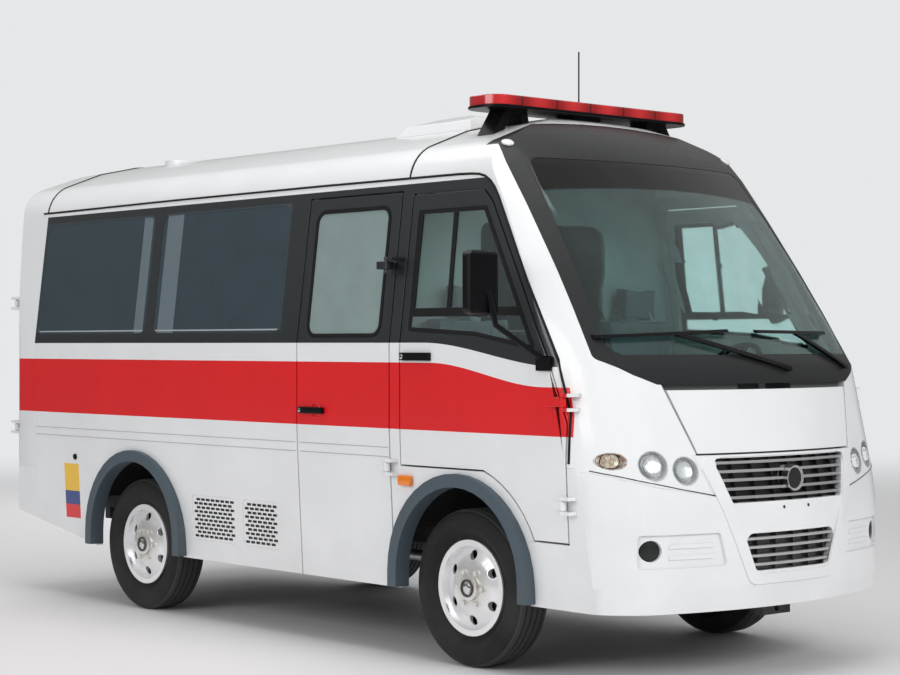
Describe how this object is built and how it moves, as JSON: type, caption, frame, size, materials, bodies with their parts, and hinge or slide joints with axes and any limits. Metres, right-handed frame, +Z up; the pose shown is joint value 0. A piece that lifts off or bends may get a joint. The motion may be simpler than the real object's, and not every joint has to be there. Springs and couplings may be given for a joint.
{
  "type": "ambulance",
  "caption": "Van-bodied ambulance on a light bus chassis: hinged cab, side and rear doors, lifting bonnet flap, steered front wheels, roof beacon bar.",
  "frame": {"origin": "on the ground under the middle of the bounding box", "axes": "+X forward, +Y to the vehicle's left, +Z up"},
  "size_m": [5.671, 2.66, 3.14],
  "materials": {
    "white_paint": "gloss white with a red band and black window band",
    "black_paint": "satin black",
    "tinted_glass": "dark tint",
    "cab_glass": "green tint",
    "black_plastic": "grained",
    "grille_bars": "silver bars on black",
    "lamp_clear": "clear lens",
    "lamp_red": "moulded lens",
    "beacon_red": "moulded lens",
    "lamp_amber": "moulded lens",
    "flare_rubber": "dull",
    "wheel_silver": "silver",
    "tyre": "dull",
    "chassis_black": "satin black",
    "iron": "raw",
    "steel": "weathered",
    "floor_grey": "matt",
    "cab_grey": "grained",
    "seat_cloth": "woven",
    "lining": "smooth"
  },
  "bodies": {
    "vehicle": {"chassis_frame": "chassis_black", "floor_pan": "floor_grey", "side_wall_right": "white_paint", "side_wall_left": "white_paint", "roof_panel": "white_paint", "front_cap": "white_paint", "bumper_front": "white_paint", "windscreen_frame": "black_paint", "windscreen": "cab_glass", "grilles": "grille_bars", "headlamps": "lamp_clear", "rear_cap": "white_paint", "bumper_rear": "white_paint", "tail_lamps": "lamp_red", "windows_right": "tinted_glass", "windows_left": "tinted_glass", "door_hinges": "white_paint", "wipers": "black_plastic", "beacon_base": "black_plastic", "beacon_lens": "beacon_red", "antenna": "black_plastic", "roof_vent": "white_paint", "arch_flares": "flare_rubber", "side_vents": "black_plastic", "marker_lamps": "lamp_amber", "axle_front": "chassis_black", "axle_rear": "chassis_black", "leaf_springs": "chassis_black", "powertrain": "iron", "fuel_tank": "chassis_black", "exhaust": "steel", "dashboard": "cab_grey", "steering_wheel": "black_plastic", "cab_seats": "seat_cloth", "bulkhead": "lining"},
    "bonnet": {"bonnet": "white_paint"},
    "door_cab_right": {"door_cab_right": "white_paint", "glass_cab_right": "cab_glass", "fittings_cab_right": "black_plastic"},
    "door_cab_left": {"door_cab_left": "white_paint", "glass_cab_left": "cab_glass", "fittings_cab_left": "black_plastic"},
    "door_side": {"door_side": "white_paint", "glass_side_door": "tinted_glass"},
    "door_rear_right": {"door_rear_right": "white_paint", "glass_rear_right": "tinted_glass"},
    "door_rear_left": {"door_rear_left": "white_paint", "glass_rear_left": "tinted_glass"},
    "knuckle_right": {"knuckle_right": "chassis_black"},
    "knuckle_left": {"knuckle_left": "chassis_black"},
    "wheel_front_right": {"wheel_front_right": "wheel_silver", "tyre_front_right": "tyre"},
    "wheel_front_left": {"wheel_front_left": "wheel_silver", "tyre_front_left": "tyre"},
    "wheel_rear_right": {"wheel_rear_right": "wheel_silver", "tyre_rear_right": "tyre"},
    "wheel_rear_left": {"wheel_rear_left": "wheel_silver", "tyre_rear_left": "tyre"}
  },
  "joints": [
    {"name": "cab_door_right_swing", "type": "hinge", "parent": "vehicle", "child": "door_cab_right", "pos_m": [2.3425, -1.054, 1], "axis": [0, 0, 1], "range_deg": [0, 70]},
    {"name": "cab_door_left_swing", "type": "hinge", "parent": "vehicle", "child": "door_cab_left", "pos_m": [2.3425, 1.054, 1], "axis": [0, 0, -1], "range_deg": [0, 70]},
    {"name": "side_door_swing", "type": "hinge", "parent": "vehicle", "child": "door_side", "pos_m": [1.0915, -1.054, 1.4], "axis": [0, 0, 1], "range_deg": [0, 90]},
    {"name": "rear_door_right_swing", "type": "hinge", "parent": "vehicle", "child": "door_rear_right", "pos_m": [-2.8205, -0.936, 1.4], "axis": [0, 0, 1], "range_deg": [0, 170]},
    {"name": "rear_door_left_swing", "type": "hinge", "parent": "vehicle", "child": "door_rear_left", "pos_m": [-2.8205, 0.936, 1.4], "axis": [0, 0, -1], "range_deg": [0, 170]},
    {"name": "bonnet_lift", "type": "hinge", "parent": "vehicle", "child": "bonnet", "pos_m": [2.5915, 0, 1.438], "axis": [0, -1, 0], "range_deg": [0, 50]},
    {"name": "steer_right", "type": "hinge", "parent": "vehicle", "child": "knuckle_right", "pos_m": [1.5955, -0.72, 0.3835], "axis": [0, 0, 1], "range_deg": [-35, 35]},
    {"name": "steer_left", "type": "hinge", "parent": "vehicle", "child": "knuckle_left", "pos_m": [1.5955, 0.72, 0.3835], "axis": [0, 0, 1], "range_deg": [-35, 35]},
    {"name": "wheel_front_right_spin", "type": "hinge", "parent": "knuckle_right", "child": "wheel_front_right", "pos_m": [1.5955, -0.87, 0.3835], "axis": [0, 1, 0], "continuous": true},
    {"name": "wheel_front_left_spin", "type": "hinge", "parent": "knuckle_left", "child": "wheel_front_left", "pos_m": [1.5955, 0.87, 0.3835], "axis": [0, 1, 0], "continuous": true},
    {"name": "wheel_rear_right_spin", "type": "hinge", "parent": "vehicle", "child": "wheel_rear_right", "pos_m": [-1.2845, -0.87, 0.3835], "axis": [0, 1, 0], "continuous": true},
    {"name": "wheel_rear_left_spin", "type": "hinge", "parent": "vehicle", "child": "wheel_rear_left", "pos_m": [-1.2845, 0.87, 0.3835], "axis": [0, 1, 0], "continuous": true}
  ],
  "couplings": [
    {"joint": "steer_left", "follows": "steer_right", "ratio": 1}
  ]
}
